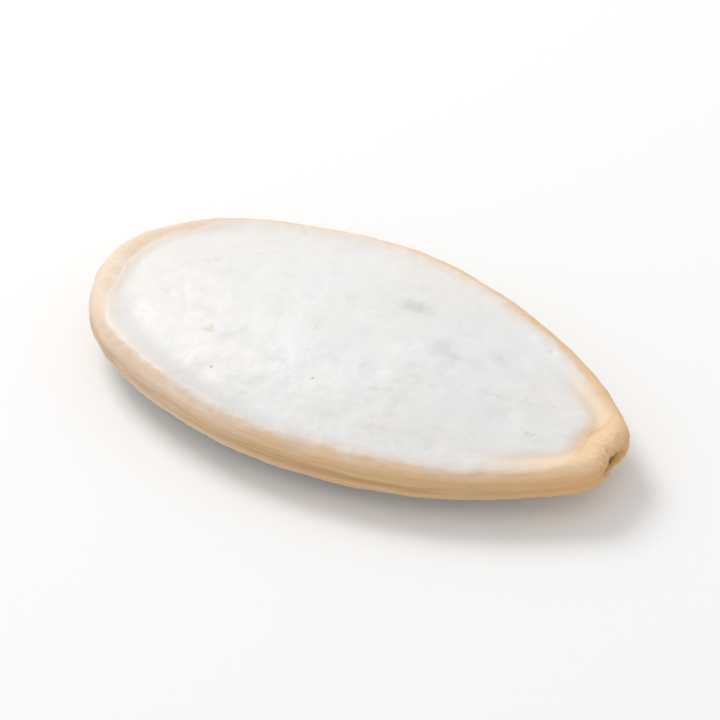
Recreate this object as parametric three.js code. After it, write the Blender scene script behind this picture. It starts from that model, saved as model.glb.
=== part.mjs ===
// A pumpkin seed in its shell: one flat, egg-shaped seed with two low domed faces, a soft raised rim all
// the way round, a fine seam along its edge and a blunt hilum end with the scar where it grew on.
// Sizes are in millimetres. +X runs along the seed to the hilum end, +Y across it and +Z up through it.
// The seed lies on one face, on a small flat spot, and its origin is in the middle of its underside.
import * as THREE from "three";

// Whole seed
const LENGTH = 20.0;
const WIDTH = 11.5;
const CROWN_UPPER = 1.52; // height of the upper dome over the mid-plane
const CROWN_LOWER = 1.42; // the lower dome is a little flatter
const FLAT_DEPTH = 0.07; // how much of the lower dome the flat spot takes off
const DOME_FOOT = 1.0; // exponent: 1 meets the groove at an angle, more runs out into it
const POLE_X = -1.0; // the domes peak nearer the round end

// Outline: a round end and a drawn-out end, which is cut off by the blunt hilum end
const UNCUT_HALF_LENGTH = 10.28;
const UNCUT_HALF_WIDTH = 5.74;
const WIDEST_BACK = 1.35; // the seed is widest this far behind its middle
const FLANK_LEFT = 1.46; // exponent: 1 is an oval flank, more runs straighter to the tip
const FLANK_RIGHT = 1.33;
const END_X = 9.66; // where the blunt end crosses the long axis
const END_SLANT = -0.05; // millimetres along the seed for each millimetre across
const END_HOLLOW = 0.1; // the end dips between its two corners
const END_HOLLOW_WIDTH = 0.6;
const END_CORNER = 0.6; // how round the corners are
const OUTLINE_WOBBLE = [
  { height: 0.045, waves: 5, turn: 0.6 },
  { height: 0.03, waves: 8, turn: 2.1 },
];

// Rim: a soft band of oval section that stands up a little from both faces
const RIM_HALF_WIDTH = 0.62;
const RIM_HALF_HEIGHT = 0.62;
const RIM_SQUARENESS = 0.94; // exponent: 1 is a true oval, less is squarer
const RIM_SWELL = [
  { height: 0.03, waves: 2, turn: 1.57 },
  { height: 0.025, waves: 3, turn: 0.9 },
  { height: 0.02, waves: 7, turn: 2.4 },
];
const RIM_LIFT = [
  { height: 0.07, waves: 2, turn: 0.5 },
  { height: 0.05, waves: 3, turn: 1.9 },
];
const RIM_SMOOTHING = 0.12; // radians of outline over which the rim's direction is evened out
const TIP_THINNING = 0.3; // share of the thickness that is lost towards the hilum end
const THINNING_START_X = 1.5;

// Groove between dome and rim
const GROOVE_INSET = 1.3; // from the outer edge
const GROOVE_HEIGHT = 0.66; // over the mid-plane
const GROOVE_FILLET = 0.3;

// Seam along the edge, and the hilum scar that it opens into
const SEAM_DEPTH = 0.05;
const SEAM_HALF_WIDTH = 0.12;
const SCAR_DEPTH = 0.34;
const SCAR_HALF_WIDTH = 0.55;
const SCAR_HALF_HEIGHT = 0.18;

// Low forms of a face, raised or sunk: middle, half-lengths of the oval, and height
const UPPER_FORMS = [
  { x: 5.4, y: 0.2, long: 3.4, wide: 0.9, height: 0.09 }, // keel that runs to the tip
  { x: 8.7, y: -1.4, long: 0.6, wide: 0.6, height: 0.12 }, // knob where the rim turns into the end
  { x: 8.9, y: 1.2, long: 0.5, wide: 0.5, height: 0.07 },
  { x: -4.8, y: -1.7, long: 2.4, wide: 1.5, height: -0.06 },
  { x: 1.6, y: 2.3, long: 2.6, wide: 1.1, height: -0.05 },
  { x: 3.4, y: -2.0, long: 1.8, wide: 0.9, height: -0.04 },
];
const LOWER_FORMS = [
  { x: 5.6, y: -0.1, long: 3.2, wide: 0.9, height: 0.07 },
  { x: 8.7, y: -1.4, long: 0.6, wide: 0.6, height: 0.08 },
  { x: -5.8, y: 2.0, long: 1.9, wide: 1.3, height: -0.05 },
];

// Mesh: steps round the outline, rings from the middle of each face out to the rim, and places on the
// rim's section in degrees, from 0 on the outer edge over the crest to 180 in the groove
const STEPS_ROUND = 96;
const UPPER_RINGS = [0.1, 0.22, 0.34, 0.46, 0.58, 0.69, 0.79, 0.88, 0.95];
const LOWER_RINGS = [0.3, 0.42, 0.54, 0.66, 0.77, 0.87, 0.95];
const RIM_DEGREES = [172, 150, 128, 108, 90, 72, 54, 38, 24, 12];

const bell = (offset, halfWidth) => Math.exp(-((offset / halfWidth) ** 2));

const smoothStep = (low, high, value) => {
  const share = THREE.MathUtils.clamp((value - low) / (high - low), 0, 1);
  return share * share * (3 - 2 * share);
};

const smoothMax = (a, b, blend) => {
  const near = Math.max(blend - Math.abs(a - b), 0) / blend;
  return Math.max(a, b) + (near * near * blend) / 4;
};

const smoothMin = (a, b, blend) => -smoothMax(-a, -b, blend);

const waveSum = (waves, angle) =>
  waves.reduce((sum, wave) => sum + wave.height * Math.sin(wave.waves * angle + wave.turn), 0);

const formHeight = (form, x, y) => form.height * bell(x - form.x, form.long) * bell(y - form.y, form.wide);

const formSum = (forms, x, y) => forms.reduce((sum, form) => sum + formHeight(form, x, y), 0);

// A point of the outline, seen from above. Angle 0 is at the hilum end.
function outline(angle) {
  const along = Math.cos(angle);
  const across = Math.sin(angle);
  const tipShare = Math.abs(Math.cos(angle / 2));
  const flank = across > 0 ? FLANK_LEFT : FLANK_RIGHT;
  const exponent = THREE.MathUtils.lerp(1, flank, tipShare);
  const wobble = waveSum(OUTLINE_WOBBLE, angle) * (1 - tipShare ** 16);
  const y = Math.sign(across) * (UNCUT_HALF_WIDTH + wobble) * Math.abs(across) ** exponent;
  const x = (UNCUT_HALF_LENGTH + wobble) * along - WIDEST_BACK * across ** 2;
  const end = END_X + END_SLANT * y - END_HOLLOW * bell(y, END_HOLLOW_WIDTH);
  return new THREE.Vector2(smoothMin(x, end, END_CORNER), y);
}

// A spoke runs from the pole of the face to a point of the edge. Its reach is measured square to the edge.
function makeSpoke(angle) {
  const edge = outline(angle);
  const tangent = outline(angle + RIM_SMOOTHING).sub(outline(angle - RIM_SMOOTHING));
  const outward = new THREE.Vector2(tangent.y, -tangent.x).normalize();
  const arm = edge.clone().sub(new THREE.Vector2(POLE_X, 0));
  const reach = arm.dot(outward);
  return { angle, edge, outward, arm, reach, grooveShare: 1 - GROOVE_INSET / reach };
}

// Share of the full thickness at a place along the seed
const thickness = (x) => 1 - TIP_THINNING * smoothStep(THINNING_START_X, LENGTH / 2, x);

// Height of the rim's section over the mid-plane, at a distance in from the edge
function rimHeight(spoke, inset) {
  const cosine = Math.min(Math.abs(1 - inset / RIM_HALF_WIDTH), 1);
  const section = (1 - cosine ** (2 / RIM_SQUARENESS)) ** (RIM_SQUARENESS / 2);
  return (RIM_HALF_HEIGHT + waveSum(RIM_SWELL, spoke.angle)) * section * thickness(spoke.edge.x);
}

// Height of a dome over the mid-plane. Share is 0 at the pole and 1 in the groove.
function domeHeight(crown, share, x) {
  const rise = Math.max(1 - share ** 2, 0) ** DOME_FOOT;
  return (GROOVE_HEIGHT + (crown - GROOVE_HEIGHT) * rise) * thickness(x);
}

// A point of the surface, at a share of the way from the pole to the edge, on the upper or lower side
function surfacePoint(spoke, edgeShare, upper) {
  const crown = upper ? CROWN_UPPER : CROWN_LOWER;
  const forms = upper ? UPPER_FORMS : LOWER_FORMS;
  const inset = (1 - edgeShare) * spoke.reach;
  const x = POLE_X + spoke.arm.x * edgeShare;
  const y = spoke.arm.y * edgeShare;
  const rim = rimHeight(spoke, inset);
  const dome = domeHeight(crown, edgeShare / spoke.grooveShare, x);
  const onCrest = smoothStep(0, RIM_HALF_WIDTH, inset);
  const blended = smoothMax(dome, rim, GROOVE_FILLET);
  const height = THREE.MathUtils.lerp(rim, blended, onCrest) + formSum(forms, x, y) * onCrest;
  const lift = waveSum(RIM_LIFT, spoke.angle) * edgeShare ** 3;
  return new THREE.Vector3(x, y, lift + (upper ? height : -height));
}

// A point of the rim, at an angle on its section. The seam and the scar draw the outer half in.
function rimPoint(spoke, degrees, upper) {
  const cosine = Math.cos(THREE.MathUtils.degToRad(degrees));
  const inset = RIM_HALF_WIDTH * (1 - Math.sign(cosine) * Math.abs(cosine) ** RIM_SQUARENESS);
  const point = surfacePoint(spoke, 1 - inset / spoke.reach, upper);
  const outer = Math.max(cosine, 0);
  const height = rimHeight(spoke, inset);
  const seam = SEAM_DEPTH * bell(height, SEAM_HALF_WIDTH) * outer;
  const atEnd = spoke.edge.x > 0 ? outer : 0;
  const scar = SCAR_DEPTH * bell(point.y, SCAR_HALF_WIDTH) * bell(height, SCAR_HALF_HEIGHT) * atEnd;
  point.x -= spoke.outward.x * seam + scar;
  point.y -= spoke.outward.y * seam;
  return point;
}

// Every ring of points, from the upper pole over the edge to the flat spot of the lower face
function seedRings(spokes, floor) {
  const faceRing = (share, upper) => spokes.map((s) => surfacePoint(s, share * s.grooveShare, upper));
  const rimRing = (degrees, upper) => spokes.map((s) => rimPoint(s, degrees, upper));
  const upperFace = UPPER_RINGS.map((share) => faceRing(share, true));
  const upperRim = RIM_DEGREES.map((degrees) => rimRing(degrees, true));
  const edge = rimRing(0, true);
  const lowerRim = RIM_DEGREES.map((degrees) => rimRing(degrees, false)).reverse();
  const lowerFace = LOWER_RINGS.map((share) => faceRing(share, false)).reverse();
  lowerFace.flat().forEach((point) => point.setZ(Math.max(point.z, floor)));
  return [...upperFace, ...upperRim, edge, ...lowerRim, ...lowerFace];
}

function seedGeometry() {
  const spokes = Array.from({ length: STEPS_ROUND }, (_, i) => makeSpoke((i / STEPS_ROUND) * 2 * Math.PI));
  const floor = -(CROWN_LOWER - FLAT_DEPTH);
  const rings = seedRings(spokes, floor);
  const top = surfacePoint(spokes[0], 0, true);
  const bottom = new THREE.Vector3(POLE_X, 0, floor);
  const points = [top, ...rings.flat(), bottom];
  const at = (ring, step) => 1 + ring * STEPS_ROUND + (step % STEPS_ROUND);
  const indices = [];
  for (let step = 0; step < STEPS_ROUND; step++) {
    indices.push(0, at(0, step), at(0, step + 1));
    for (let ring = 0; ring + 1 < rings.length; ring++) {
      indices.push(at(ring, step), at(ring + 1, step), at(ring + 1, step + 1));
      indices.push(at(ring, step), at(ring + 1, step + 1), at(ring, step + 1));
    }
    indices.push(points.length - 1, at(rings.length - 1, step + 1), at(rings.length - 1, step));
  }
  const geometry = new THREE.BufferGeometry().setFromPoints(points);
  geometry.setIndex(indices);
  return geometry;
}

// Brings the seed to its exact length and width, and sets the middle of its underside on the origin.
function setToSize(geometry) {
  geometry.computeBoundingBox();
  const middle = geometry.boundingBox.getCenter(new THREE.Vector3());
  const size = geometry.boundingBox.getSize(new THREE.Vector3());
  geometry.translate(-middle.x, -middle.y, -geometry.boundingBox.min.z);
  geometry.scale(LENGTH / size.x, WIDTH / size.y, 1);
  geometry.computeVertexNormals();
  return geometry;
}

const shell = new THREE.MeshStandardMaterial({ color: 0xebe7de, roughness: 0.5, metalness: 0 });
const seed = new THREE.Mesh(setToSize(seedGeometry()), shell);
seed.name = "seed";

const pumpkinSeed = new THREE.Group();
pumpkinSeed.add(seed);

export default pumpkinSeed;
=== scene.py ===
"""Dresses one whole pumpkin seed in its dry white shell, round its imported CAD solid.

The seed's fine shape follows the same rule as the solid: an egg-shaped outline with a blunt hilum end, two
low domes, a groove and a soft rim with a seam. Geometry Nodes build it from that rule and lay the fine relief
over it: soft hollows, wrinkles, pits, the ragged border of the white film, and the fibres of the rim.

Inside the node trees a length is in millimetres. The finished meshes are in metres, in the CAD frame.
"""

import logging
import math
from collections.abc import Iterable
from dataclasses import asdict, dataclass
from enum import Enum
from functools import reduce
from operator import add

import bpy
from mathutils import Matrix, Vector


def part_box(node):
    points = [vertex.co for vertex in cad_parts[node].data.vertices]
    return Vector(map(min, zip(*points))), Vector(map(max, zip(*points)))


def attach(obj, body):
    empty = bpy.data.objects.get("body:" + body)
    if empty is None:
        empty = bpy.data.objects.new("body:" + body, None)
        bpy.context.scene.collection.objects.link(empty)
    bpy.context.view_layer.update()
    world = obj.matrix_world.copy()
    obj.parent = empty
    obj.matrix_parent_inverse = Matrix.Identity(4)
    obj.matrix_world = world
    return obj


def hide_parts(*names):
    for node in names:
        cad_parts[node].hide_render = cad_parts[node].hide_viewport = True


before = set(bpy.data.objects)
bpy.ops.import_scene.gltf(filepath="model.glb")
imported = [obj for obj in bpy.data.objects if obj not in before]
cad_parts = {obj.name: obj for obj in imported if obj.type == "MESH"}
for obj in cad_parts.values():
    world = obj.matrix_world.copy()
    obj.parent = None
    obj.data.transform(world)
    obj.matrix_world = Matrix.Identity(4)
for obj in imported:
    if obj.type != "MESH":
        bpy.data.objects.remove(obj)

LOG = logging.getLogger("pumpkin_seed")
MM = 0.001
ROOT_BODY = "root"
SEED_NODE = "seed"
NOISE_MEAN = 0.5
# A noise strays from its mean by about a quarter, so this gain lets a ripple reach from about -1 to 1.
NOISE_GAIN = 4.0

Colour = tuple[float, float, float]
Triple = tuple[float, float, float]
Number = "float | Value"


class Mark(Enum):
    """What the shell keeps at each of its points, for its relief and its finish to read."""

    INSET = "inset"
    SIDE = "side"
    SEAM = "seam"
    SCAR = "scar"
    RIM = "rim"
    MARGIN = "margin"
    FLOW = "flow"

    @property
    def is_vector(self) -> bool:
        """Says whether the mark is a vector and not a number."""
        return self is Mark.FLOW

    @property
    def data_type(self) -> str:
        """Names the mark's data type in Geometry Nodes."""
        return "FLOAT_VECTOR" if self.is_vector else "FLOAT"


@dataclass(frozen=True)
class Band:
    """Two limits of a number, and how much of something comes in or fades out between them."""

    start: float
    end: float
    top: float = 1.0


@dataclass(frozen=True, kw_only=True)
class Pattern:
    """A random pattern, read at a place that is stretched or shifted first where it says so."""

    stretch: Triple | None = None
    shift: Triple | None = None


@dataclass(frozen=True)
class Grain(Pattern):
    """A soft noise: its features for each unit, its finer layers and their strength, and its height."""

    per_unit: float
    detail: float = 2.0
    roughness: float = 0.5
    height: float = 1.0


@dataclass(frozen=True)
class Spots(Pattern):
    """Strewn round spots: cells for each unit, how a spot fades outwards, and the share of bare cells."""

    per_unit: float
    edge: Band
    bare: float


def add_object(name: str, data: bpy.types.ID) -> bpy.types.Object:
    """Adds an object to the scene.

    Args:
        name: Its name.
        data: Its mesh, light or camera.

    Returns:
        The object.
    """
    added = bpy.data.objects.new(name, data)
    bpy.context.scene.collection.objects.link(added)
    return added


class Value:
    """A node's socket that can stand in Python arithmetic. Each operator adds one node to its tree."""

    def __init__(self, tree: "Tree", socket: bpy.types.NodeSocket) -> None:
        """Wraps an output socket that holds a number or a vector."""
        self.tree = tree
        self.socket = socket

    def __add__(self, other: Number) -> "Value":
        """Adds a number."""
        return self.tree.maths("ADD", self, other)

    def __radd__(self, other: Number) -> "Value":
        """Adds this socket to a number."""
        return self.tree.maths("ADD", other, self)

    def __sub__(self, other: Number) -> "Value":
        """Takes a number away."""
        return self.tree.maths("SUBTRACT", self, other)

    def __rsub__(self, other: Number) -> "Value":
        """Takes this socket away from a number."""
        return self.tree.maths("SUBTRACT", other, self)

    def __mul__(self, other: Number) -> "Value":
        """Multiplies by a number."""
        return self.tree.maths("MULTIPLY", self, other)

    def __rmul__(self, other: Number) -> "Value":
        """Multiplies a number by this socket."""
        return self.tree.maths("MULTIPLY", other, self)

    def __truediv__(self, other: Number) -> "Value":
        """Divides by a number."""
        return self.tree.maths("DIVIDE", self, other)

    def __rtruediv__(self, other: Number) -> "Value":
        """Divides a number by this socket."""
        return self.tree.maths("DIVIDE", other, self)

    def __pow__(self, other: Number) -> "Value":
        """Raises to a power."""
        return self.tree.maths("POWER", self, other)

    def __neg__(self) -> "Value":
        """Turns the sign round."""
        return self * -1.0

    def __abs__(self) -> "Value":
        """Drops the sign."""
        return self.tree.maths("ABSOLUTE", self)

    def sine(self) -> "Value":
        """Gives the sine of an angle in radians."""
        return self.tree.maths("SINE", self)

    def cosine(self) -> "Value":
        """Gives the cosine of an angle in radians."""
        return self.tree.maths("COSINE", self)

    def root(self) -> "Value":
        """Gives the square root."""
        return self.tree.maths("SQRT", self)

    def sign(self) -> "Value":
        """Gives -1, 0 or 1."""
        return self.tree.maths("SIGN", self)

    def lowest(self, other: Number) -> "Value":
        """Gives the smaller of two numbers."""
        return self.tree.maths("MINIMUM", self, other)

    def highest(self, other: Number) -> "Value":
        """Gives the larger of two numbers."""
        return self.tree.maths("MAXIMUM", self, other)

    def above(self, limit: Number) -> "Value":
        """Gives 1 where the number is over a limit, and 0 elsewhere."""
        return self.tree.maths("GREATER_THAN", self, limit)

    def below(self, limit: Number) -> "Value":
        """Gives 1 where the number is under a limit, and 0 elsewhere."""
        return self.tree.maths("LESS_THAN", self, limit)

    def between(self, a: Number, b: Number) -> "Value":
        """Goes from one number to another as this one goes from 0 to 1."""
        return self.tree.node("ShaderNodeMix", {0: self, 2: a, 3: b}, data_type="FLOAT")

    def bell(self, half_width: float) -> "Value":
        """Gives the bell curve of an offset: 1 in its middle, and 0.37 at its half-width."""
        return self.tree.maths("POWER", math.e, (self / half_width) ** 2.0 * -1.0)

    def rise(self, band: Band) -> "Value":
        """Rises smoothly from 0 at the start of the band to its top at the end."""
        limits = {"Value": self, "From Min": band.start, "From Max": band.end, "To Max": band.top}
        return self.tree.node("ShaderNodeMapRange", limits, interpolation_type="SMOOTHSTEP")

    def fall(self, band: Band) -> "Value":
        """Falls smoothly from the band's top at its start to 0 at its end."""
        return band.top - self.rise(band)

    def smooth_highest(self, other: "Value", blend: float) -> "Value":
        """Gives the larger of two numbers, with a fillet where they differ by less than the blend."""
        near = (blend - abs(self - other)).highest(0.0) / blend
        return self.highest(other) + near * near * (blend / 4)

    def smooth_lowest(self, other: "Value", blend: float) -> "Value":
        """Gives the smaller of two numbers, with the same fillet."""
        return -(-self).smooth_highest(-other, blend)

    def split(self) -> tuple["Value", "Value", "Value"]:
        """Takes a vector apart into its three numbers."""
        x, y, z = self.tree.node("ShaderNodeSeparateXYZ", {0: self}).socket.node.outputs
        return Value(self.tree, x), Value(self.tree, y), Value(self.tree, z)

    def stretch(self, factors: Triple) -> "Value":
        """Multiplies a vector part by part."""
        return self.tree.node("ShaderNodeVectorMath", {0: self, 1: factors}, operation="MULTIPLY")

    def shift(self, other: "Value | Triple") -> "Value":
        """Adds a vector."""
        return self.tree.node("ShaderNodeVectorMath", {0: self, 1: other}, operation="ADD")

    def scaled(self, factor: Number) -> "Value":
        """Multiplies a vector by a number."""
        return self.tree.node("ShaderNodeVectorMath", {0: self, "Scale": factor}, operation="SCALE")

    def read_at(self, pattern: Pattern) -> "Value":
        """Stretches and shifts a place as the pattern that is read there asks."""
        place = self.stretch(pattern.stretch) if pattern.stretch else self
        return place.shift(pattern.shift) if pattern.shift else place

    def noise(self, grain: Grain) -> "Value":
        """Gives a noise from 0 to 1 at a place.

        Args:
            grain: The noise's pattern.

        Returns:
            The noise.
        """
        inputs = {
            "Vector": self.read_at(grain),
            "Scale": grain.per_unit,
            "Detail": grain.detail,
            "Roughness": grain.roughness,
        }
        return self.tree.node("ShaderNodeTexNoise", inputs)

    def ripple(self, grain: Grain) -> "Value":
        """Gives a noise that swings about 0, from about -1 to 1."""
        return (self.noise(grain) - NOISE_MEAN) * NOISE_GAIN

    def raised(self, grain: Grain) -> "Value":
        """Gives a ripple of the grain's own height."""
        return self.ripple(grain) * grain.height

    def strewn(self, spots: Spots) -> "Value":
        """Strews spots over a place.

        Args:
            spots: Their pattern.

        Returns:
            The top of their edge band in the middle of a spot, and 0 off the spots.
        """
        inputs = {"Vector": self.read_at(spots), "Scale": spots.per_unit}
        distance = self.tree.node("ShaderNodeTexVoronoi", inputs, output="Distance")
        chance, _, _ = Value(self.tree, distance.socket.node.outputs["Color"]).split()
        return distance.fall(spots.edge) * chance.above(spots.bare)


def total(parts: Iterable[Number]) -> Value:
    """Adds up several values in their order."""
    return reduce(add, parts)


class Tree:
    """A node tree that is written as expressions."""

    def __init__(self, nodes: bpy.types.NodeTree) -> None:
        """Wraps the empty tree of a shape or a material."""
        self.nodes = nodes

    def node(
        self,
        kind: str,
        inputs: dict[str | int, object] | None = None,
        output: str | int = 0,
        **settings: object,
    ) -> Value:
        """Adds one node.

        Args:
            kind: The node's type.
            inputs: A number, a colour or a Value for each socket, by name or by place.
            output: The output that is wanted, by name or by place.
            **settings: The node's own properties, which are set first.

        Returns:
            That output.
        """
        made = self.nodes.nodes.new(kind)
        for name, value in settings.items():
            setattr(made, name, value)
        for key, value in (inputs or {}).items():
            self.feed(made.inputs[key], value)
        return Value(self, made.outputs[output])

    def feed(self, socket: bpy.types.NodeSocket, value: object) -> None:
        """Links or sets one input socket.

        Args:
            socket: The input.
            value: A Value to link, or a plain value to set.
        """
        if isinstance(value, Value):
            self.nodes.links.new(value.socket, socket)
        else:
            socket.default_value = value

    def maths(self, operation: str, *values: Number) -> Value:
        """Adds a Math node, with its operation's name and its one to three numbers."""
        return self.node("ShaderNodeMath", dict(enumerate(values)), operation=operation)

    def vector(self, x: Number, y: Number, z: Number) -> Value:
        """Joins three numbers into a vector."""
        return self.node("ShaderNodeCombineXYZ", {0: x, 1: y, 2: z})


class ShapeTree(Tree):
    """A Geometry Nodes tree with named inputs."""

    def __init__(self, name: str, sizes: dict[str, float]) -> None:
        """Makes the tree, with one number for each named size.

        Args:
            name: The tree's name.
            sizes: The name of each input and the value that the modifier gives it.
        """
        super().__init__(bpy.data.node_groups.new(name, "GeometryNodeTree"))
        self.sizes = sizes
        self.identifiers: dict[str, str] = {}
        self.nodes.interface.new_socket("Geometry", in_out="INPUT", socket_type="NodeSocketGeometry")
        self.nodes.interface.new_socket("Geometry", in_out="OUTPUT", socket_type="NodeSocketGeometry")
        for size, value in sizes.items():
            kind = "NodeSocketInt" if isinstance(value, int) else "NodeSocketFloat"
            socket = self.nodes.interface.new_socket(size, in_out="INPUT", socket_type=kind)
            self.identifiers[size] = socket.identifier
        self.entry = self.nodes.nodes.new("NodeGroupInput")
        self.exit = self.nodes.nodes.new("NodeGroupOutput")

    def size(self, name: str) -> Value:
        """Gives one of the tree's named inputs."""
        return Value(self, self.entry.outputs[name])

    def stored(self, mark: Mark) -> Value:
        """Reads one of the shell's marks back."""
        return self.node("GeometryNodeInputNamedAttribute", {"Name": mark.value}, data_type=mark.data_type)

    def store(self, geometry: Value, mark: Mark, value: Value) -> Value:
        """Keeps a number or a vector at each point of a mesh."""
        inputs = {"Geometry": geometry, "Name": mark.value, "Value": value}
        return self.node("GeometryNodeStoreNamedAttribute", inputs, data_type=mark.data_type, domain="POINT")

    def close(self, geometry: Value, material: bpy.types.Material) -> None:
        """Ends the tree: from millimetres to metres, real geometry, its material, and out.

        Args:
            geometry: The finished geometry, in millimetres.
            material: What it is made of.
        """
        metres = self.node("GeometryNodeTransform", {"Geometry": geometry, "Scale": (MM, MM, MM)})
        real = self.node("GeometryNodeRealizeInstances", {"Geometry": metres})
        dressed = self.node("GeometryNodeSetMaterial", {"Geometry": real, "Material": material})
        self.nodes.links.new(dressed.socket, self.exit.inputs[0])

    def make_piece(self, name: str) -> bpy.types.Object:
        """Runs the tree once and keeps its result as a plain mesh.

        Args:
            name: The new piece's name.

        Returns:
            A smooth-shaded object at the origin, with no modifier.
        """
        seat = add_object(name + "_seat", bpy.data.meshes.new(name + "_seat"))
        modifier = seat.modifiers.new("shape", "NODES")
        modifier.node_group = self.nodes
        for size, value in self.sizes.items():
            modifier[self.identifiers[size]] = value
        evaluated = seat.evaluated_get(bpy.context.evaluated_depsgraph_get())
        mesh = bpy.data.meshes.new_from_object(evaluated)
        mesh.name = name
        mesh.shade_smooth()
        bpy.data.objects.remove(seat)
        return add_object(name, mesh)


@dataclass(frozen=True)
class Wave:
    """A wave round the outline: its height, its number of crests, and its start in radians."""

    height: float
    waves: int
    turn: float

    def at(self, angle: Value) -> Value:
        """Gives the wave's height at an angle of the outline."""
        return self.height * (angle * self.waves + self.turn).sine()


@dataclass(frozen=True)
class Oval:
    """A soft oval on a face: its middle, half-lengths, strength or height, and turn in degrees."""

    x: float
    y: float
    long: float
    wide: float
    strength: float = 1.0
    turn: float = 0.0

    def at(self, x: Value, y: Value) -> Value:
        """Gives the oval's strength at a place.

        Args:
            x: The place along the seed.
            y: The place across it.

        Returns:
            The full strength in the oval's middle, which fades to 0 outside it.
        """
        cosine = math.cos(math.radians(self.turn))
        sine = math.sin(math.radians(self.turn))
        along = (x - self.x) * cosine + (y - self.y) * sine
        across = (y - self.y) * cosine - (x - self.x) * sine
        return along.bell(self.long) * across.bell(self.wide) * self.strength


@dataclass(frozen=True)
class Outline:
    """The seed's edge seen from above: a round end, a drawn-out end, and the blunt hilum end."""

    half_length: float = 10.28
    half_width: float = 5.74
    widest_back: float = 1.35
    flank_left: float = 1.46
    flank_right: float = 1.33
    end_x: float = 9.66
    end_slant: float = -0.05
    end_hollow: float = 0.1
    end_hollow_width: float = 0.6
    end_corner: float = 0.6
    wobble: tuple[Wave, ...] = (Wave(0.045, 5, 0.6), Wave(0.03, 8, 2.1))
    wobble_fade: float = 16.0

    def point(self, angle: Value) -> tuple[Value, Value]:
        """Gives a point of the outline.

        Args:
            angle: 0 at the hilum end, pi at the round end.

        Returns:
            The point's x and y.
        """
        along = angle.cosine()
        across = angle.sine()
        tip_share = abs((angle / 2).cosine())
        flank = across.above(0.0).between(self.flank_right, self.flank_left)
        exponent = tip_share.between(1.0, flank)
        waves = total(wave.at(angle) for wave in self.wobble)
        wobble = waves * (1 - tip_share ** self.wobble_fade)
        y = across.sign() * (wobble + self.half_width) * abs(across) ** exponent
        x = (wobble + self.half_length) * along - across * across * self.widest_back
        end = self.end_x + y * self.end_slant - y.bell(self.end_hollow_width) * self.end_hollow
        return x.smooth_lowest(end, self.end_corner), y


@dataclass(frozen=True)
class Section:
    """The seed's section from the middle of a face to the edge: dome, groove, rim, seam and scar."""

    crown_upper: float = 1.52
    crown_lower: float = 1.42
    flat_depth: float = 0.07
    dome_foot: float = 1.0
    pole_x: float = -1.0
    rim_half_width: float = 0.62
    rim_half_height: float = 0.62
    rim_squareness: float = 0.94
    rim_smoothing: float = 0.12
    tip_thinning: float = 0.3
    thinning: Band = Band(1.5, 10.0)
    groove_inset: float = 1.3
    groove_height: float = 0.66
    groove_fillet: float = 0.3
    seam_depth: float = 0.05
    seam_half_width: float = 0.12
    scar_depth: float = 0.34
    scar_half_width: float = 0.55
    scar_half_height: float = 0.18
    rim_swell: tuple[Wave, ...] = (Wave(0.03, 2, 1.57), Wave(0.025, 3, 0.9), Wave(0.02, 7, 2.4))
    rim_lift: tuple[Wave, ...] = (Wave(0.07, 2, 0.5), Wave(0.05, 3, 1.9))
    rim_lift_fade: float = 3.0
    upper_forms: tuple[Oval, ...] = (
        Oval(5.4, 0.2, 3.4, 0.9, 0.09),
        Oval(8.7, -1.4, 0.6, 0.6, 0.12),
        Oval(8.9, 1.2, 0.5, 0.5, 0.07),
        Oval(-4.8, -1.7, 2.4, 1.5, -0.06),
        Oval(1.6, 2.3, 2.6, 1.1, -0.05),
        Oval(3.4, -2.0, 1.8, 0.9, -0.04),
    )
    lower_forms: tuple[Oval, ...] = (
        Oval(5.6, -0.1, 3.2, 0.9, 0.07),
        Oval(8.7, -1.4, 0.6, 0.6, 0.08),
        Oval(-5.8, 2.0, 1.9, 1.3, -0.05),
    )

    @property
    def floor(self) -> float:
        """Gives the height of the surface that the seed lies on, which is under the mid-plane and below 0."""
        return self.flat_depth - self.crown_lower


@dataclass(frozen=True)
class Relief:
    """Heights of the fine relief, in millimetres. Each is a named input of the shell's tree."""

    swell: float = 0.035
    dent: float = 0.045
    dimple: float = 0.014
    peel: float = 0.008
    wrinkle: float = 0.016
    crease: float = 0.045
    pit: float = 0.035
    film: float = 0.028
    rim_knob: float = 0.03
    rim_fibre: float = 0.015
    rim_nick: float = 0.05
    scar_rough: float = 0.06
    end_pucker: float = 0.045
    rest_lift: float = 0.02


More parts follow.
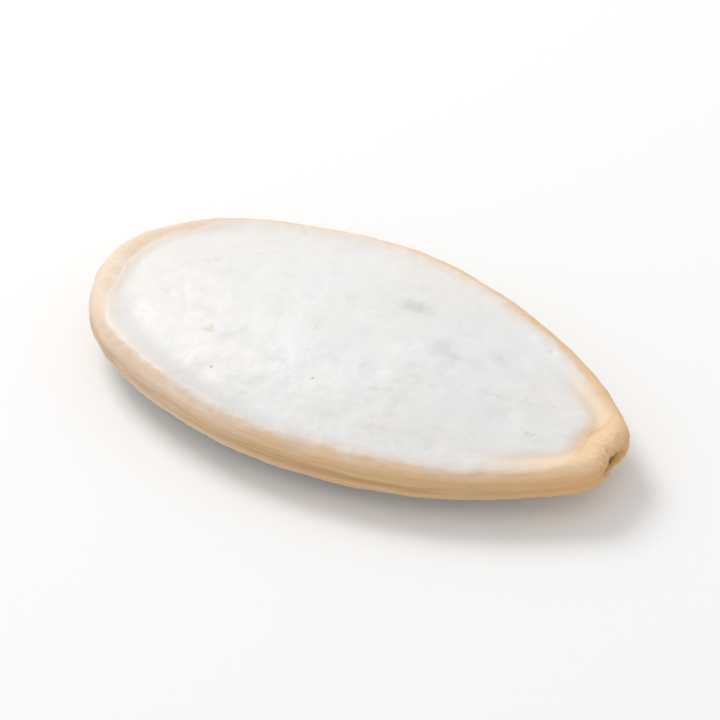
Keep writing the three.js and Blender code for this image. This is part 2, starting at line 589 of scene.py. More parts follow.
@dataclass(frozen=True)
class ReliefPattern:
    """Where the fine relief lies: its noises, its spots, its creases, and the bands in which it fades."""

    on_face: Band = Band(0.5, 1.8)
    swell: Grain = Grain(0.22, 1.0)
    dent: Grain = Grain(0.42, 1.0, shift=(3.1, 7.7, 1.3))
    dent_band: Band = Band(0.56, 0.74)
    dimple: Grain = Grain(0.95, 1.0)
    peel: Grain = Grain(2.6)
    wrinkle: Grain = Grain(1.0, stretch=(0.5, 2.9, 2.9))
    wrinkle_bend: float = 20.0
    wrinkled: Grain = Grain(0.3, 1.0, shift=(9.0, 2.0, 4.0))
    wrinkled_band: Band = Band(0.4, 0.62)
    wrinkle_least: float = 0.25
    creases: tuple[Oval, ...] = (
        Oval(-1.6, 0.3, 1.7, 0.13, turn=12),
        Oval(-0.9, 0.85, 0.8, 0.11, 0.7, turn=24),
        Oval(4.3, -0.9, 1.1, 0.12, 0.8, turn=-14),
        Oval(5.2, -0.3, 0.8, 0.11, 0.6, turn=4),
        Oval(-5.4, 2.0, 0.9, 0.13, 0.7, turn=40),
        Oval(-6.4, -1.2, 0.7, 0.12, 0.6, turn=-52),
        Oval(1.9, 2.9, 1.1, 0.12, 0.7, turn=-8),
    )
    crease_bend: float = 6.0
    pits: Spots = Spots(0.42, Band(0.02, 0.07), 0.62, shift=(0.4, 0.9, 0.0))
    on_rim: Band = Band(0.75, 1.25)
    knob: Grain = Grain(0.75, stretch=(8.0, 8.0, 1.0))
    fibre: Grain = Grain(1.0, stretch=(5.0, 5.0, 7.0))
    fibre_inset: Band = Band(0.25, 0.7)
    nicks: Spots = Spots(0.8, Band(0.03, 0.13), 0.72, stretch=(0.7, 1.0, 1.4))
    torn: Grain = Grain(2.2, 3.0, 0.6, stretch=(1.0, 2.2, 3.0))
    pucker: Grain = Grain(0.8, 3.0, stretch=(1.2, 3.0, 0.8))
    pucker_along: Band = Band(0.93, 0.995)
    pucker_inset: Band = Band(0.9, 2.2)
    resting: Band = Band(0.0, 0.12)


@dataclass(frozen=True)
class FilmBorder:
    """Where the white film ends: its distance from the edge, and the stretches where it ends further in."""

    inset: float = 0.38
    wander: Grain = Grain(0.32, height=0.13, stretch=(8.0, 8.0, 0.6))
    far_flank: Band = Band(-0.3, 0.5, 0.16)
    round_end: Band = Band(-0.72, -0.99, 0.5)
    hilum_end: Band = Band(0.9, 1.0, 0.68)
    fray: tuple[Grain, ...] = (Grain(1.3, 3.0, height=0.09), Grain(4.5, 3.0, height=0.035))

    def margin(self, tree: ShapeTree) -> Value:
        """Gives how far inside the film's smooth border a point of the shell is.

        Args:
            tree: The shell's tree.

        Returns:
            The distance in millimetres, which is below 0 off the film.
        """
        flow = tree.stored(Mark.FLOW)
        round_x, round_y, _ = flow.split()
        widths = (
            self.inset,
            flow.raised(self.wander),
            round_y.rise(self.far_flank),
            round_x.rise(self.round_end),
            round_x.rise(self.hilum_end),
        )
        return tree.stored(Mark.INSET) - total(widths)

    def cover(self, place: Value, margin: Value, softness: float) -> Value:
        """Gives 1 on the film and 0 off it, over a frayed border of the softness to each side."""
        frayed = total((margin, *(place.raised(grain) for grain in self.fray)))
        return frayed.rise(Band(-softness, softness))


@dataclass(frozen=True)
class SeedShell:
    """The whole shell of the seed, from its upper dome round its rim to its underside."""

    outline: Outline = Outline()
    section: Section = Section()
    relief: Relief = Relief()
    pattern: ReliefPattern = ReliefPattern()
    border: FilmBorder = FilmBorder()
    border_softness: float = 0.06
    cells_long: int = 220
    cells_wide: int = 130
    cells_rim: int = 56
    wall_start: float = 0.9999
    foot_reach: float = 0.45
    foot_steps: int = 30

    def build(self, material: bpy.types.Material) -> bpy.types.Object:
        """Builds the shell in the place of its CAD solid.

        Args:
            material: The finish of the seed coat.

        Returns:
            The piece.
        """
        piece = self.shape_tree(material).make_piece("seed_shell")
        self.fit_to_solid(piece)
        return piece

    def shape_tree(self, material: bpy.types.Material) -> ShapeTree:
        """Writes the Geometry Nodes tree that makes the shell from a finely divided box.

        Args:
            material: The finish of the seed coat.

        Returns:
            The finished tree.
        """
        counts = {
            "Vertices Long": self.cells_long + 1,
            "Vertices Wide": self.cells_wide + 1,
            "Vertices Rim": self.cells_rim + 1,
        }
        heights = {name.replace("_", " ").title(): value for name, value in asdict(self.relief).items()}
        tree = ShapeTree("seed shell", counts | heights)
        cuts = {"Vertices " + axis: tree.size(count) for axis, count in zip("XYZ", counts)}
        box = tree.node("GeometryNodeMeshCube", {"Size": (2.0, 2.0, 2.0)} | cuts)
        smooth = self.soften_groove(tree, self.lay_on_rule(tree, box))
        tree.close(self.add_relief(tree, smooth), material)
        return tree

    def box_angle(self, a: Value, b: Value) -> Value:
        """Turns a place on the box, seen from above, into an angle of the outline.

        Args:
            a: The place along the box, from -1 to 1.
            b: The place across it, from -1 to 1.

        Returns:
            The angle, which runs evenly round each square about the middle.
        """
        eighth = math.pi / 4
        by_ends = b / a * eighth + a.below(0.0) * math.pi
        by_flanks = b.sign() * (2 * eighth) - a / b * eighth
        return abs(b).above(abs(a)).between(by_ends, by_flanks)

    def lay_on_rule(self, tree: ShapeTree, box: Value) -> Value:
        """Bends the box into the seed: its top and bottom become the faces, its walls the rim.

        Args:
            tree: The node tree.
            box: A box from -1 to 1 each way, with its walls and faces finely divided.

        Returns:
            The closed seed, with what the relief needs stored on its points.
        """
        s = self.section
        box_x, box_y, box_z = tree.node("GeometryNodeInputPosition").split()
        angle = self.box_angle(box_x, box_y)
        ring = abs(box_x).highest(abs(box_y))
        on_rim = ring.above(self.wall_start)
        side = box_z.sign()
        edge_x, edge_y = self.outline.point(angle)
        out_x, out_y = self.outward(angle)
        arm_x = edge_x - s.pole_x
        reach = arm_x * out_x + edge_y * out_y
        groove_share = 1 - s.groove_inset / reach
        face_inset = (1 - ring * groove_share) * reach
        # A wall goes from the edge at its middle over the rim's crest, half-way up, to the groove.
        from_edge = abs(box_z) * 2
        rim_cosine = (from_edge.lowest(1.0) * (math.pi / 2)).cosine()
        to_groove = (from_edge - 1).highest(0.0) * (s.groove_inset - s.rim_half_width)
        rim_inset = (1 - rim_cosine ** s.rim_squareness) * s.rim_half_width + to_groove
        inset = on_rim.between(face_inset, rim_inset)
        edge_share = 1 - inset / reach
        x = arm_x * edge_share + s.pole_x
        y = edge_y * edge_share
        rim = self.rim_height(angle, inset, edge_x)
        height = self.height(x, y, edge_share / groove_share, inset, rim, side)
        outer = rim_cosine * on_rim
        seam = rim.bell(s.seam_half_width) * outer
        at_end = edge_x.above(0.0) * outer
        scar = y.bell(s.scar_half_width) * rim.bell(s.scar_half_height) * at_end
        lift = total(wave.at(angle) for wave in s.rim_lift) * edge_share ** s.rim_lift_fade
        placed = tree.vector(
            x - out_x * seam * s.seam_depth - scar * s.scar_depth,
            y - out_y * seam * s.seam_depth,
            lift + height * side - s.floor,
        )
        marks = {
            Mark.INSET: inset,
            Mark.SIDE: side,
            Mark.SEAM: seam,
            Mark.SCAR: scar,
            Mark.RIM: rim,
            Mark.FLOW: tree.vector(angle.cosine(), angle.sine(), inset * side),
        }
        kept = box
        for mark, value in marks.items():
            kept = tree.store(kept, mark, value)
        return tree.node("GeometryNodeSetPosition", {"Geometry": kept, "Position": placed})

    def soften_groove(self, tree: ShapeTree, seed: Value) -> Value:
        """Evens out the foot of the domes, so that the film runs over the groove without a kink.

        Args:
            tree: The node tree.
            seed: The seed as the rule gives it.

        Returns:
            The seed with a soft groove.
        """
        near_groove = (tree.stored(Mark.INSET) - self.section.groove_inset).bell(self.foot_reach)
        inputs = {
            "Value": tree.node("GeometryNodeInputPosition"),
            "Iterations": self.foot_steps,
            "Weight": near_groove,
        }
        evened = tree.node("GeometryNodeBlurAttribute", inputs, data_type="FLOAT_VECTOR")
        return tree.node("GeometryNodeSetPosition", {"Geometry": seed, "Position": evened})

    def outward(self, angle: Value) -> tuple[Value, Value]:
        """Gives the evened-out direction that the edge faces.

        Args:
            angle: The angle of the outline.

        Returns:
            The x and y of the direction, which is one long.
        """
        ahead_x, ahead_y = self.outline.point(angle + self.section.rim_smoothing)
        behind_x, behind_y = self.outline.point(angle - self.section.rim_smoothing)
        run_x = ahead_x - behind_x
        run_y = ahead_y - behind_y
        length = (run_x * run_x + run_y * run_y).root()
        return run_y / length, -run_x / length

    def thickness(self, x: Value) -> Value:
        """Gives the share of the full thickness at a place along the seed."""
        return 1 - x.rise(self.section.thinning) * self.section.tip_thinning

    def rim_height(self, angle: Value, inset: Value, edge_x: Value) -> Value:
        """Gives the height of the rim's section over the mid-plane.

        Args:
            angle: The angle of the outline.
            inset: The distance in from the edge.
            edge_x: Where the edge is along the seed.

        Returns:
            The height.
        """
        s = self.section
        cosine = abs(1 - inset / s.rim_half_width).lowest(1.0)
        oval = (1 - cosine ** (2 / s.rim_squareness)).highest(0.0) ** (s.rim_squareness / 2)
        crest = total(wave.at(angle) for wave in s.rim_swell) + s.rim_half_height
        return crest * oval * self.thickness(edge_x)

    def height(self, x: Value, y: Value, share: Value, inset: Value, rim: Value, side: Value) -> Value:
        """Gives the height of a face over the mid-plane.

        Args:
            x: The place along the seed.
            y: The place across it.
            share: 0 at the pole of the dome and 1 in the groove.
            inset: The distance in from the edge.
            rim: The rim's own height there.
            side: 1 on the upper face, -1 on the lower.

        Returns:
            The height, always upwards from the mid-plane.
        """
        s = self.section
        is_upper = side.above(0.0)
        crown = is_upper.between(s.crown_lower, s.crown_upper)
        rise = (1 - share * share).highest(0.0) ** s.dome_foot
        dome = ((crown - s.groove_height) * rise + s.groove_height) * self.thickness(x)
        on_crest = inset.rise(Band(0.0, s.rim_half_width))
        blended = dome.smooth_highest(rim, s.groove_fillet)
        upper = total(form.at(x, y) for form in s.upper_forms)
        lower = total(form.at(x, y) for form in s.lower_forms)
        return on_crest.between(rim, blended) + is_upper.between(lower, upper) * on_crest

    def add_relief(self, tree: ShapeTree, seed: Value) -> Value:
        """Lays the fine relief over the seed and keeps the film's margin for its finish.

        Args:
            tree: The node tree.
            seed: The smooth seed.

        Returns:
            The seed with its relief, nowhere lower than the surface it lies on.
        """
        place = tree.node("GeometryNodeInputPosition")
        _, _, height = place.split()
        margin = self.border.margin(tree)
        film = self.border.cover(place, margin, self.border_softness)
        heights = self.face_relief(tree, place) + self.rim_relief(tree, place) + film * tree.size("Film")
        normal = tree.node("GeometryNodeInputNormal")
        marked = tree.store(seed, Mark.MARGIN, margin)
        resting = height.fall(self.pattern.resting)
        offset = normal.scaled(heights - resting * tree.size("Rest Lift"))
        raised = tree.node("GeometryNodeSetPosition", {"Geometry": marked, "Offset": offset})
        x, y, z = tree.node("GeometryNodeInputPosition").split()
        rested = tree.vector(x, y, z.highest(0.0))
        return tree.node("GeometryNodeSetPosition", {"Geometry": raised, "Position": rested})

    def face_relief(self, tree: ShapeTree, place: Value) -> Value:
        """Lays swells, dents, wrinkles, creases, pits and a fine grain over the faces.

        Args:
            tree: The node tree.
            place: The place on the smooth seed.

        Returns:
            The height of them all.
        """
        p = self.pattern
        x, y, _ = place.split()
        on_face = tree.stored(Mark.INSET).rise(p.on_face)
        on_upper = tree.stored(Mark.SIDE).above(0.0)
        swell = place.ripple(p.swell) * tree.size("Swell") * on_face
        dent = place.noise(p.dent).rise(p.dent_band) * tree.size("Dent") * on_face
        dimple = place.ripple(p.dimple) * tree.size("Dimple")
        peel = place.ripple(p.peel) * tree.size("Peel")
        bent = place.shift(tree.vector(0.0, dimple * p.wrinkle_bend, 0.0))
        wrinkled = place.noise(p.wrinkled).rise(p.wrinkled_band)
        wrinkle_share = wrinkled * (1 - p.wrinkle_least) + p.wrinkle_least
        wrinkle = bent.ripple(p.wrinkle) * wrinkle_share * tree.size("Wrinkle")
        bent_y = y + dimple * p.crease_bend
        fold = total(crease.at(x, bent_y) for crease in p.creases)
        pit = place.strewn(p.pits) * tree.size("Pit")
        return swell + dimple + peel + wrinkle - dent - fold * on_upper * tree.size("Crease") - pit

    def rim_relief(self, tree: ShapeTree, place: Value) -> Value:
        """Lays knobs, fibres and nicks over the rim, puckers round its end, and torn fibre in the scar.

        Args:
            tree: The node tree.
            place: The place on the smooth seed.

        Returns:
            The height of them all.
        """
        p = self.pattern
        inset = tree.stored(Mark.INSET)
        flow = tree.stored(Mark.FLOW)
        round_x, round_y, _ = flow.split()
        along = tree.vector(round_x, round_y, tree.stored(Mark.RIM) * tree.stored(Mark.SIDE))
        knob = flow.ripple(p.knob) * tree.size("Rim Knob")
        fibre = along.ripple(p.fibre) * tree.size("Rim Fibre") * inset.fall(p.fibre_inset)
        nick = place.strewn(p.nicks) * tree.size("Rim Nick")
        round_scar = round_x.rise(p.pucker_along) * inset.fall(p.pucker_inset)
        pucker = place.ripple(p.pucker) * tree.size("End Pucker") * round_scar
        scar = place.ripple(p.torn) * tree.stored(Mark.SCAR) * tree.size("Scar Rough")
        return (knob + fibre - nick) * inset.fall(p.on_rim) + pucker + scar

    def fit_to_solid(self, piece: bpy.types.Object) -> None:
        """Scales and moves the mesh along X and Y by a hair, so that it fills the CAD solid's box.

        Args:
            piece: The shell. Its height is left as it is.
        """
        low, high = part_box(SEED_NODE)
        points = [vertex.co for vertex in piece.data.vertices]
        for axis in (0, 1):
            least = min(point[axis] for point in points)
            most = max(point[axis] for point in points)
            factor = (high[axis] - low[axis]) / (most - least)
            for point in points:
                point[axis] = low[axis] + (point[axis] - least) * factor
        piece.data.update()


@dataclass(frozen=True)
class HilumTuft:
    """The torn strands of the stalk that are left in the hilum scar."""

    strands: int = 30
    steps: int = 7
    root_x: float = 9.42
    root_z: float = 1.43
    spread_wide: float = 0.42
    spread_high: float = 0.09
    shortest: float = 0.16
    longest: float = 0.46
    fan_wide: float = 0.55
    fan_high: float = 0.3
    sway_wide: Grain = Grain(3.1, 1.0, height=0.09)
    sway_high: Grain = Grain(3.1, 1.0, height=0.06, shift=(5.0, 3.0, 1.0))
    radius: float = 0.024
    taper: float = 0.7
    sides: int = 5
    seed: int = 11

    def build(self, material: bpy.types.Material) -> bpy.types.Object:
        """Builds the tuft.

        Args:
            material: The finish of the strands.

        Returns:
            The piece.
        """
        tree = ShapeTree("hilum tuft", {"Strands": self.strands, "Steps": self.steps, "Radius": self.radius})
        tree.close(self.thicken(tree, self.lay_strands(tree)), material)
        return tree.make_piece("hilum_tuft")

    def random(self, tree: ShapeTree, low: float, high: float, stream: int) -> Value:
        """Draws one number for each strand, from one of the tuft's streams of random numbers."""
        inputs = {2: low, 3: high, "Seed": self.seed + stream}
        return tree.node("FunctionNodeRandomValue", inputs, 1, data_type="FLOAT")

    def lay_strands(self, tree: ShapeTree) -> Value:
        """Lays bent curves that fan out of the scar.

        Args:
            tree: The node tree.

        Returns:
            The curves.
        """
        across = self.random(tree, -self.spread_wide, self.spread_wide, 0)
        up = self.random(tree, -self.spread_high, self.spread_high, 1)
        root = tree.vector(self.root_x, across, up + self.root_z)
        points = tree.node("GeometryNodePoints", {"Count": tree.size("Strands"), "Position": root})
        line = tree.node("GeometryNodeCurvePrimitiveLine", {"End": (1.0, 0.0, 0.0)})
        fine = tree.node("GeometryNodeResampleCurve", {"Curve": line, "Count": tree.size("Steps")})
        yaw = self.random(tree, -self.fan_wide, self.fan_wide, 2)
        pitch = self.random(tree, -self.fan_high, self.fan_high, 3)
        length = self.random(tree, self.shortest, self.longest, 4)
        inputs = {
            "Points": points,
            "Instance": fine,
            "Rotation": tree.vector(0.0, pitch, yaw),
            "Scale": tree.vector(length, length, length),
        }
        placed = tree.node("GeometryNodeInstanceOnPoints", inputs)
        loose = tree.node("GeometryNodeRealizeInstances", {"Geometry": placed})
        share = tree.node("GeometryNodeSplineParameter")
        place = tree.node("GeometryNodeInputPosition")
        wide = place.ripple(self.sway_wide) * share * self.sway_wide.height
        high = place.ripple(self.sway_high) * share * self.sway_high.height
        sway = tree.vector(0.0, wide, high)
        return tree.node("GeometryNodeSetPosition", {"Geometry": loose, "Offset": sway})

    def thicken(self, tree: ShapeTree, curves: Value) -> Value:
        """Turns the curves into closed strands that taper to their tips.

        Args:
            tree: The node tree.
            curves: The bent curves.

        Returns:
            The strands.
        """
        share = tree.node("GeometryNodeSplineParameter")
        width = tree.size("Radius") * (1 - share * self.taper)
        circle_inputs = {"Resolution": self.sides, "Radius": 1.0}
        circle = tree.node("GeometryNodeCurvePrimitiveCircle", circle_inputs)
        inputs = {"Curve": curves, "Profile Curve": circle, "Scale": width, "Fill Caps": True}
        return tree.node("GeometryNodeCurveToMesh", inputs)


class Material(Tree):
    """A material's node tree, with its shader at the end."""

    def __init__(self, name: str) -> None:
        """Makes an empty material.

        Args:
            name: The material's name.
        """
        self.material = bpy.data.materials.new(name)
        self.material.use_nodes = True
        super().__init__(self.material.node_tree)
        self.nodes.nodes.clear()

    def stored(self, mark: Mark) -> Value:
        """Reads one of the shell's marks."""
        output = "Vector" if mark.is_vector else "Fac"
        return self.node("ShaderNodeAttribute", output=output, attribute_name=mark.value)

    def place(self) -> Value:
        """Gives the place on the object, in millimetres."""
        metres = self.node("ShaderNodeTexCoord", output="Object")
        return metres.scaled(1 / MM)

    def mix(self, base: Value | Colour, over: Value | Colour, share: Number) -> Value:
        """Lays one colour over another, of which a share from 0 to 1 shows."""
        under, top = ((*c, 1.0) if isinstance(c, tuple) else c for c in (base, over))
        return self.node("ShaderNodeMix", {0: share, 6: under, 7: top}, 2, data_type="RGBA")

    def bump(self, height: Value) -> Value:
        """Turns a height in millimetres into a bent normal."""
        return self.node("ShaderNodeBump", {"Height": height, "Distance": MM, "Strength": 1.0})

    def shade(self, inputs: dict[str, object]) -> bpy.types.Material:
        """Closes the material with a Principled shader.

        Args:
            inputs: What feeds the shader's sockets.

        Returns:
            The finished material.
        """
        shader = self.node("ShaderNodeBsdfPrincipled", inputs)
        end = self.nodes.nodes.new("ShaderNodeOutputMaterial")
        self.feed(end.inputs["Surface"], shader)
        return self.material


class CoatMaterial(Material):
    """The seed coat's material, with the place and the shell's marks at hand."""

    def __init__(self, name: str) -> None:
        """Makes an empty material and reads the marks.

        Args:
            name: The material's name.
        """
        super().__init__(name)
        self.at = self.place()
        self.margin = self.stored(Mark.MARGIN)
        self.inset = self.stored(Mark.INSET)
        self.seam = self.stored(Mark.SEAM)
        self.scar = self.stored(Mark.SCAR)
        self.rim = self.stored(Mark.RIM)
        self.round_x, self.round_y, _ = self.stored(Mark.FLOW).split()
        self.along_rim = self.vector(self.round_x, self.round_y, self.rim)


@dataclass(frozen=True)
class FilmFinish:
    """The white film: ivory patches, grey mottles and smudges, stains and specks, with painted shade by the
    groove.
    """

    white: Colour = (0.825, 0.83, 0.825)
    ivory: Colour = (0.84, 0.80, 0.73)
    grey: Colour = (0.725, 0.722, 0.712)
    # Grey of the smudges, and also of the painted shade by the groove and on the near flank.
    shade: Colour = (0.60, 0.60, 0.60)
    stain: Colour = (0.66, 0.44, 0.23)
    speck: Colour = (0.34, 0.24, 0.15)
    patches: Grain = Grain(0.28)
    patch_band: Band = Band(0.35, 0.8, 0.6)
    to_round_end: Band = Band(4.0, -8.0, 0.25)
    mottles: Grain = Grain(1.1, 4.0, 0.6, shift=(5.0, 1.0, 2.0))
    mottle_band: Band = Band(0.5, 0.72, 0.4)
    upper_face_z: float = 1.6
    smudge_band: Band = Band(0.36, 0.62)
    smudges: tuple[Oval, ...] = (
        Oval(0.8, 2.1, 0.6, 0.42, 0.75),
        Oval(3.2, 0.6, 0.9, 0.5, 0.5),
        Oval(4.6, 1.5, 0.7, 0.4, 0.35),
        Oval(-2.9, -2.2, 0.8, 0.4, 0.3),
    )
    stains: Grain = Grain(0.8, 4.0, 0.65, shift=(1.0, 3.0, 9.0))
    stain_band: Band = Band(0.66, 0.76, 0.45)
    specks: Spots = Spots(0.9, Band(0.03, 0.075, 0.5), 0.84)
    # Painted shade: the film is greyed towards the groove, a little all round and most on the near flank,
    # which turns away from the key light.
    painted_shade_flank: Band = Band(-0.25, -0.75, 0.34)
    painted_shade_flank_start: Band = Band(-0.75, -0.3)
    painted_shade_inset: Band = Band(1.6, 0.6)
    painted_shade_share: float = 0.04

    def colour(self, m: CoatMaterial, mottle: Value) -> Value:
        """Gives the film's colour.

        Args:
            m: The seed coat's material.
            mottle: The noise of the mottles, which also frays the smudges.

        Returns:
            The colour.
        """
        x, y, z = m.at.split()
        ivory = m.at.noise(self.patches) + x.rise(self.to_round_end)
        film = m.mix(self.white, self.ivory, ivory.rise(self.patch_band))
        film = m.mix(film, self.grey, mottle.rise(self.mottle_band))
        ragged = mottle.rise(self.smudge_band) * z.above(self.upper_face_z)
        for smudge in self.smudges:
            film = m.mix(film, self.shade, smudge.at(x, y) * ragged)
        film = m.mix(film, self.stain, m.at.noise(self.stains).rise(self.stain_band))
        film = m.mix(film, self.speck, m.at.strewn(self.specks))
        # Painted shade: the film darkens towards the groove, a little all round and most on the near flank.
        near = m.round_y.rise(self.painted_shade_flank) * m.round_x.rise(self.painted_shade_flank_start)
        return m.mix(film, self.shade, m.inset.rise(self.painted_shade_inset) * (near + self.painted_shade_share))


@dataclass(frozen=True)
class ShellFinish:
    """The bare shell: cream that turns to peach and tan in streaks along the rim, with hairs and a seam."""

    pale: Colour = (0.86, 0.77, 0.67)
    cream: Colour = (0.85, 0.68, 0.53)
    peach: Colour = (0.84, 0.55, 0.30)
    rose: Colour = (0.74, 0.50, 0.36)
    tan: Colour = (0.66, 0.41, 0.18)
    hair_brown: Colour = (0.43, 0.25, 0.10)
    seam_brown: Colour = (0.36, 0.20, 0.08)
    to_hilum: Band = Band(-0.8, 0.5)
    to_hilum_share: float = 0.42
    blotches: Grain = Grain(0.5, 3.0, shift=(2.0, 8.0, 3.0))
    blotch_share: float = 0.6
    golden_band: Band = Band(0.3, 0.9, 0.9)
    to_tan: Band = Band(-0.9, 0.1)
    streaks: Grain = Grain(1.0, 3.0, stretch=(2.6, 2.6, 7.0))
    streak_band: Band = Band(0.35, 0.7, 0.35)
    low_edge: Band = Band(0.12, 0.56)
    low_edge_share: float = 0.5
    hairs: Grain = Grain(1.0, 3.0, 0.6, stretch=(12.0, 12.0, 34.0))
    hair_band: Band = Band(0.52, 0.68)
    hair_share: float = 0.1
    low_hair_share: float = 0.2
    remnants: Grain = Grain(1.6, 5.0, 0.65, shift=(7.0, 2.0, 5.0))
    remnant_band: Band = Band(0.5, 0.62, 0.55)
    remnant_loss: float = 0.5
    crest: Band = Band(0.38, 0.58)
    seam_band: Band = Band(0.3, 0.6, 0.45)

    def colour(self, m: CoatMaterial) -> Value:
        """Gives the bare shell's colour.

        Args:
            m: The seed coat's material.

        Returns:
            The colour.
        """
        to_hilum = m.round_x.rise(self.to_hilum)
        golden = m.at.noise(self.blotches) * self.blotch_share + to_hilum * self.to_hilum_share
        shell = m.mix(self.cream, self.peach, golden.rise(self.golden_band))
        low_edge = m.rim.fall(self.low_edge)
        streaks = m.along_rim.noise(self.streaks)
        dark = m.mix(self.rose, self.tan, m.round_x.rise(self.to_tan))
        shell = m.mix(shell, dark, streaks.rise(self.streak_band) + low_edge * self.low_edge_share)
        hairs = m.along_rim.noise(self.hairs).rise(self.hair_band)
        shell = m.mix(shell, self.hair_brown, hairs * (low_edge * self.low_hair_share + self.hair_share))
        remnants = m.at.noise(self.remnants).rise(self.remnant_band) * m.rim.rise(self.crest)
        shell = m.mix(shell, self.pale, remnants * (1 - to_hilum * self.remnant_loss))
        return m.mix(shell, self.seam_brown, m.seam * streaks.rise(self.seam_band))


@dataclass(frozen=True)
class HilumFinish:
    """The blunt end: orange with a peach crest, partly painted highlight, a ragged golden stain, and the
    scar's brown, torn floor.
    """

    # Partly the end's own peach and partly painted highlight: lighter, as if the crest caught the light.
    peach: Colour = (0.96, 0.69, 0.43)
    orange: Colour = (0.76, 0.44, 0.19)
    gold: Colour = (0.60, 0.34, 0.12)
    brown: Colour = (0.20, 0.095, 0.035)
    tint_along: Band = Band(0.68, 0.96, 0.8)
    tint_inset: Band = Band(0.7, 1.8)
    crest_peach_and_highlight: Band = Band(0.2, 0.5)
    torn: Grain = Grain(3.0, 4.0, 0.65, stretch=(1.0, 2.0, 3.0))
    end_along: Band = Band(9.3, 9.8)
    end_along_fray: float = 0.8
    end_across: Band = Band(0.5, 1.4)
    end_across_fray: float = 0.9
    end_torn: Band = Band(0.38, 0.66, 0.55)
    gold_scar: Band = Band(0.02, 0.4, 0.9)
    gold_fray: float = 0.3
    brown_scar: Band = Band(0.35, 0.9)
    brown_fray: float = 0.9

    def over(self, m: CoatMaterial, coat: Value) -> Value:
        """Lays the end's colours over the rest of the coat.

        Args:
            m: The seed coat's material.
            coat: The colour of film and shell.

        Returns:
            The colour of the whole coat.
        """
        near_scar = m.round_x.rise(self.tint_along) * m.inset.fall(self.tint_inset)
        # Partly painted highlight: the crest of the end turns a lighter peach, while the tint stays orange
        # elsewhere.
        tint = m.mix(self.orange, self.peach, m.rim.rise(self.crest_peach_and_highlight))
        coat = m.mix(coat, tint, near_scar)
        x, y, _ = m.at.split()
        torn = m.at.noise(self.torn)
        fray = torn - NOISE_MEAN
        along = (x + fray * self.end_along_fray).rise(self.end_along)
        across = (abs(y) + fray * self.end_across_fray).fall(self.end_across)
        coat = m.mix(coat, self.gold, along * across * torn.rise(self.end_torn))
        coat = m.mix(coat, self.gold, (m.scar + fray * self.gold_fray).rise(self.gold_scar))
        return m.mix(coat, self.brown, (m.scar + fray * self.brown_fray).rise(self.brown_scar))


@dataclass(frozen=True)
class CoatFinish:
    """The seed coat: a satin white film on the faces, cream to tan shell on the rim, brown at the hilum."""

    film: FilmFinish = FilmFinish()
    shell: ShellFinish = ShellFinish()
    hilum: HilumFinish = HilumFinish()
    border: FilmBorder = FilmBorder()
    border_softness: float = 0.03
    border_share: float = 0.35
    wear: Grain = Grain(2.2, 3.0, height=0.06)
    wear_band: Band = Band(-0.22, 0.6)
    roughness: float = 0.62
    film_gloss: float = 0.12
    mottle_gloss: float = 0.3
    grains: tuple[Grain, ...] = (Grain(5.5, 3.0, 0.6, height=0.0022), Grain(16.0, height=0.0008))
    fibres: Grain = Grain(1.0, 3.0, height=0.006, stretch=(9.0, 9.0, 20.0))
    fibre_loss: float = 0.8
    specular: float = 0.5
    glow: float = 0.08
    glow_depths: Triple = (1.0, 0.6, 0.35)
    glow_metres: float = 0.0004
    coat: float = 0.08
    coat_roughness: float = 0.35

    def material(self) -> bpy.types.Material:
        """Makes the seed coat's material: the shell, the film over it, and the hilum over both.

        Returns:
            The material.
        """
        m = CoatMaterial("seed_coat")
        film = self.border.cover(m.at, m.margin, self.border_softness)
        whole = (m.margin + m.at.raised(self.wear)).rise(self.wear_band)
        film_share = film * self.border_share + whole * (1 - self.border_share)
        mottle = m.at.noise(self.film.mottles)
        colour = m.mix(self.shell.colour(m), self.film.colour(m, mottle), film_share)
        roughness = self.roughness - film * self.film_gloss + (mottle - NOISE_MEAN) * self.mottle_gloss
        grain = total(m.at.raised(grain) for grain in self.grains)
        relief = grain + m.along_rim.raised(self.fibres) * (1 - film * self.fibre_loss)
        return m.shade(
            {
                "Base Color": self.hilum.over(m, colour),
                "Roughness": roughness,
                "Normal": m.bump(relief),
                "Specular IOR Level": self.specular,
                "Subsurface Weight": self.glow,
                "Subsurface Radius": self.glow_depths,
                "Subsurface Scale": self.glow_metres,
                "Coat Weight": film * self.coat,
                "Coat Roughness": self.coat_roughness,
            }
        )


@dataclass(frozen=True)
class StrandFinish:
    """The torn strands of the hilum: dry, golden brown, darker at the root."""

    tip_gold: Colour = (0.62, 0.40, 0.17)
    root_brown: Colour = (0.24, 0.12, 0.045)
    along: Band = Band(9.4, 9.85)
    streaks: Grain = Grain(2.0, height=0.12, stretch=(1.0, 6.0, 6.0))
    roughness: float = 0.8

    def material(self) -> bpy.types.Material:
        """Makes the strands' material.

        Returns:
            The material.
        """
        m = Material("hilum_strand")
        place = m.place()
        x, _, _ = place.split()
        to_tip = (x + place.raised(self.streaks)).rise(self.along)
        colour = m.mix(self.root_brown, self.tip_gold, to_tip)
        return m.shade({"Base Color": colour, "Roughness": self.roughness})


@dataclass(frozen=True)
class FloorFinish:
    """A plain, pale, matte floor."""

    colour: Colour = (0.95, 0.95, 0.945)
    roughness: float = 0.8

    def material(self) -> bpy.types.Material:
        """Makes the floor's material."""
        return Material("pale_floor").shade({"Base Color": (*self.colour, 1.0), "Roughness": self.roughness})


@dataclass(frozen=True)
class SoftLight:
    """A square studio light: where it stands, its side in metres and its power in watts."""

    name: str
    place: Triple
    side: float
    power: float

    def build(self) -> None:
        """Hangs the light, turned to the seed."""
        data = bpy.data.lights.new(self.name, "AREA")
        data.size = self.side
        data.energy = self.power
        lamp = add_object(self.name, data)
        lamp.location = self.place
        lamp.rotation_euler = (-Vector(self.place)).to_track_quat("-Z", "Y").to_euler()


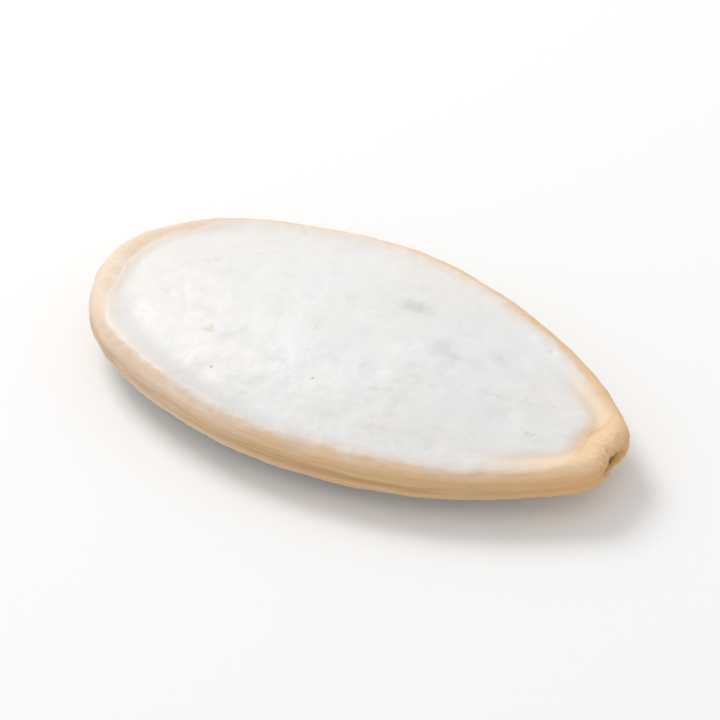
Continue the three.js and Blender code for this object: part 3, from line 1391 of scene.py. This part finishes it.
@dataclass(frozen=True)
class Studio:
    """The floor, the soft lights and the camera, with lengths in metres and angles in degrees."""

    azimuth: float = 33.0
    elevation: float = 38.0
    lens: float = 600.0
    view_width: float = 0.0238
    floor_half: float = 0.6
    floor_gap: float = 0.00001
    floor_finish: FloorFinish = FloorFinish()
    air: Colour = (0.985, 0.99, 1.0)
    air_strength: float = 0.70
    lights: tuple[SoftLight, ...] = (SoftLight("key_light", (-0.16, 0.058, 0.17), 0.11, 0.28),)

    def build(self) -> None:
        """Builds the camera, the floor and the lights."""
        self.build_camera()
        self.build_floor()
        self.build_air()
        for light in self.lights:
            light.build()
        bpy.context.scene.view_settings.view_transform = "Standard"

    def build_camera(self) -> None:
        """Aims the camera at the middle of the seed, at the viewing angle of the photograph."""
        low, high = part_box(SEED_NODE)
        azimuth = math.radians(self.azimuth)
        elevation = math.radians(self.elevation)
        level = math.cos(elevation)
        back = Vector((math.sin(azimuth) * level, -math.cos(azimuth) * level, math.sin(elevation)))
        data = bpy.data.cameras.new("camera")
        data.lens = self.lens
        data.clip_start = MM
        camera = add_object("camera", data)
        distance = self.view_width * self.lens / data.sensor_width
        camera.location = (low + high) / 2 + back * distance
        camera.rotation_euler = (-back).to_track_quat("-Z", "Y").to_euler()
        bpy.context.scene.camera = camera

    def build_floor(self) -> None:
        """Lays the floor a hair under the seed."""
        half = self.floor_half
        corners = [(-half, -half), (half, -half), (half, half), (-half, half)]
        mesh = bpy.data.meshes.new("floor")
        mesh.from_pydata([(x, y, -self.floor_gap) for x, y in corners], [], [(0, 1, 2, 3)])
        mesh.materials.append(self.floor_finish.material())
        floor = add_object("floor", mesh)

    def build_air(self) -> None:
        """Fills the studio with even light."""
        world = bpy.data.worlds.new("studio_air")
        world.use_nodes = True
        sky = world.node_tree.nodes["Background"]
        sky.inputs["Color"].default_value = (*self.air, 1.0)
        sky.inputs["Strength"].default_value = self.air_strength
        bpy.context.scene.world = world


def hang(piece: bpy.types.Object, in_place_of: str | None = None) -> None:
    """Fixes a piece to the seed's body.

    Args:
        piece: The finished piece.
        in_place_of: The CAD node that it stands for, if it stands for one.
    """
    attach(piece, ROOT_BODY)
    if in_place_of:
        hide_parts(in_place_of)
    LOG.info("%s: %d faces", piece.name, len(piece.data.polygons))


def main() -> None:
    """Builds the studio and the seed, and reports each piece."""
    logging.basicConfig(level=logging.INFO, format="%(message)s")
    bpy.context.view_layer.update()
    Studio().build()
    hang(SeedShell().build(CoatFinish().material()), in_place_of=SEED_NODE)
    hang(HilumTuft().build(StrandFinish().material()))


if __name__ == "__main__":
    main()
